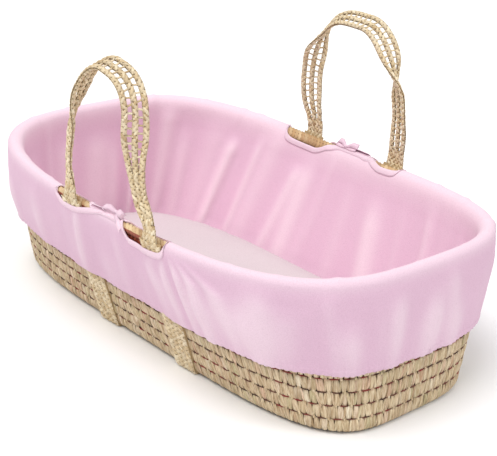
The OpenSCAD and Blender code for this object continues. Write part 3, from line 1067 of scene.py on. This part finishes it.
# cloth tapes tied in a bow over the flap: a knot, two loops and two tails
def makeTie(side, name):
    rng = random.Random(80 + side)
    middle = Vector((sideMiddle(side) - tie["shift"],
                     side * (basket["rimWidth"] / 2 + basket["coilOff"]),
                     basket["rimZ"] + tie["above"]))
    bm, cloth = clothMesh()

    def tape(points, halves, lean):
        knots = np.array(points)
        for vert in addGrid(bm, 2, tie["rows"]):
            b = (vert.co.y + 0.5) * (len(points) - 1)
            i = min(int(b), len(points) - 2)
            k = smooth(b - i)
            spot = knots[i] * (1 - k) + knots[i + 1] * k
            half = float(np.interp(b, range(len(halves)), halves))
            cup = tie["cup"] * (1 - (vert.co.x * 2) ** 2)
            vert[cloth] = (vert.co.x, vert.co.y, 0.3)
            vert.co = middle + Vector((spot[0], side * spot[1] + half * vert.co.x * 2 * lean[0],
                                       spot[2] + half * vert.co.x * 2 * lean[1] + cup))

    for end in (-1, 1):
        reach = tie["reach"] * rng.uniform(0.9, 1.15)
        loop = tie["loop"]
        tape([(end * reach * x, y, z) for x, y, z in loop["path"]], loop["halves"], loop["lean"])
        tail = tie["tailAlong" if end == side else "tailDown"]
        points = [(end * x, y, z) for x, y, z in tail["path"]]
        if end != side:
            x, y, z = points[-1]
            points[-1] = (x, y, z - tie["droop"] * rng.random())
        tape(points, tail["halves"], tail["lean"])
    faceOut(bm)
    tapes = newPiece("tie_tapes_" + name, bm, "basket", linerCloth)
    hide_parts("tie_" + name)
    thicken(tapes, tie["thickness"])
    knot = Gather()
    for i in range(3):
        shift = Vector(((i - 1) * tie["knotStep"], 0, tie["knotAbove"] + tie["knotSway"] * (i % 2)))
        knot.bead(Matrix.Translation(middle + shift) @ Matrix.Diagonal(tie["knotSize"]), i)
    bead = newPiece("tie_knot_" + name, knot.bm, "basket", linerCloth)
    roundOff(bead)


floorCloth = {"off": -0.0108, "z": 0.0134, "columns": 128, "rows": 26, "ripple": 0.0003,
              "thickness": 0.0010}


# the cloth that lies over the floor mat, under the mattress
def makeFloorCloth():
    bm, cloth = clothMesh()
    for vert in addGrid(bm, floorCloth["columns"], floorCloth["rows"]):
        turn = (vert.co.x + 0.5) * 2 * pi
        r = vert.co.y + 0.5
        edge = wallPoint(turn, floorCloth["off"], floorCloth["z"])
        ripple = sin(edge.x * r * 46 + 2 * sin(edge.y * r * 30))
        # painted shade in the ripple hollows, and the lining's lighter painted-light colour
        vert[cloth] = (edge.x * r, 1.0, 0.5 - 0.5 * ripple)
        vert.co = Vector((edge.x * r, edge.y * r,
                          floorCloth["z"] + floorCloth["ripple"] * ripple))
    bmesh.ops.remove_doubles(bm, verts=bm.verts, dist=0.0001)
    faceOut(bm)
    piece = newPiece("liner_floor_cloth", bm, "basket", linerCloth)
    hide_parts("liner_base")
    thicken(piece, floorCloth["thickness"])


makeLiner()
makeFloorCloth()
for side, name in ((-1, "front"), (1, "back")):
    makeFacing(side, name, False)
    makeFacing(side, name + "_lining", True)
    makeTie(side, name)
print("dressing made")

mattress = {
    "length": 0.750, "width": 0.336, "low": 0.0145, "thickness": 0.030, "square": 3.0,
    "points": 96, "inset": 0.001, "voxel": 0.006, "pressure": 4.0, "cap": 0.005,
    "frames": 20, "clear": 0.0003, "startAbove": 0.0004,
}


def mattressOutline(inset):
    a = mattress["length"] / 2 - inset
    b = mattress["width"] / 2 - inset
    return [Vector((lobe(cos(t), a, mattress["square"]),
                    lobe(sin(t), b, mattress["square"]), 0))
            for t in np.linspace(0, 2 * pi, mattress["points"], endpoint=False)]


def makeMattress():
    bm = bmesh.new()
    count = mattress["points"]
    bmesh.ops.create_circle(bm, cap_ends=True, segments=count, radius=1.0)
    bm.verts.ensure_lookup_table()
    outline = mattressOutline(mattress["inset"])
    start = Vector((0, 0, mattress["low"] + mattress["startAbove"]))
    for vert in bm.verts:
        angle = atan2(vert.co.y, vert.co.x) % (2 * pi)
        vert.co = outline[round(angle / (2 * pi) * count) % count] + start
    risen = bmesh.ops.extrude_face_region(bm, geom=bm.faces[:])
    top = [e for e in risen["geom"] if isinstance(e, bmesh.types.BMVert)]
    bmesh.ops.translate(bm, verts=top, vec=(0, 0, mattress["thickness"]))
    faceOut(bm)
    piece = newPiece("mattress_pad", bm, None, mattressCloth)
    remesh = piece.modifiers.new("remesh", "REMESH")
    remesh.mode = "VOXEL"
    remesh.voxel_size = mattress["voxel"]
    remesh.use_smooth_shade = True
    applyModifiers(piece)
    before = [v.co.copy() for v in piece.data.vertices]
    cloth = piece.modifiers.new("cloth", "CLOTH")
    cloth.settings.use_pressure = True
    cloth.settings.uniform_pressure_force = mattress["pressure"]
    cloth.settings.effector_weights.gravity = 0
    scene = bpy.context.scene
    for f in range(1, mattress["frames"] + 1):
        scene.frame_set(f)
    applyModifiers(piece)
    scene.frame_set(1)
    floor = mattress["low"] + mattress["clear"]
    for vert, was in zip(piece.data.vertices, before):
        move = vert.co - was
        if move.length > mattress["cap"]:
            vert.co = was + move.normalized() * mattress["cap"]
        vert.co.z = max(vert.co.z, floor)
    for face in piece.data.polygons:
        face.use_smooth = True
    roundOff(piece)
    applyModifiers(piece)
    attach(piece, "mattress")
    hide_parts("mattress_cover", "mattress_foam")


def applyModifiers(piece):
    graph = bpy.context.evaluated_depsgraph_get()
    mesh = bpy.data.meshes.new_from_object(piece.evaluated_get(graph))
    piece.modifiers.clear()
    piece.data = mesh


makeMattress()
print("mattress made")

stage = {
    "floor": 6.0, "world": 0.64,
    "suns": [{"name": "key", "strength": 0.60, "softness": 18, "from": (0.75, 0.45, 0.85)},
             {"name": "fill", "strength": 2.0, "softness": 40, "from": (-0.05, -0.42, 0.90)}],
}


def makeStage():
    bm = bmesh.new()
    addGrid(bm, 1, 1, stage["floor"])
    floor = newPiece("floor", bm)
    g = Graph("paleFloor")
    floor.data.materials.append(g.finish(Base_Color=(0.93, 0.93, 0.935, 1), Roughness=0.9))
    world = bpy.data.worlds.new("studio")
    world.use_nodes = True
    world.node_tree.nodes["Background"].inputs[0].default_value = (1.0, 1.0, 1.0, 1)
    world.node_tree.nodes["Background"].inputs[1].default_value = stage["world"]
    bpy.context.scene.world = world

    for sun in stage["suns"]:
        data = bpy.data.lights.new(sun["name"], "SUN")
        data.energy = sun["strength"]
        data.angle = radians(sun["softness"])
        lamp = bpy.data.objects.new(sun["name"], data)
        lamp.rotation_euler = Vector(sun["from"]).to_track_quat("Z", "Y").to_euler()
        bpy.context.scene.collection.objects.link(lamp)


makeStage()

view = {
    "around": 45.7629, "above": 22.7974, "away": 2.1242, "aim": (-0.0026, 0.0319, 0.1455),
    "roll": 4.4007, "sensor": 36, "lens": 91.8599396, "far": 50,
}


def makeCamera():
    a = radians(view["around"])
    e = radians(view["above"])
    r = radians(view["roll"])
    back = Vector((sin(a) * cos(e), -cos(a) * cos(e), sin(e)))
    right = (-back).cross(Vector((0, 0, 1))).normalized()
    up = right.cross(-back)
    across = right * cos(r) + up * sin(r)
    upright = up * cos(r) - right * sin(r)
    data = bpy.data.cameras.new("camera")
    data.sensor_width = view["sensor"]
    data.lens = view["lens"]
    data.clip_end = view["far"]
    camera = bpy.data.objects.new("camera", data)
    place = Vector(view["aim"]) + back * view["away"]
    camera.matrix_world = Matrix((
        (across.x, upright.x, back.x, place.x), (across.y, upright.y, back.y, place.y),
        (across.z, upright.z, back.z, place.z), (0, 0, 0, 1)))
    bpy.context.scene.collection.objects.link(camera)
    bpy.context.scene.camera = camera


makeCamera()
bpy.context.scene.view_settings.view_transform = "Standard"
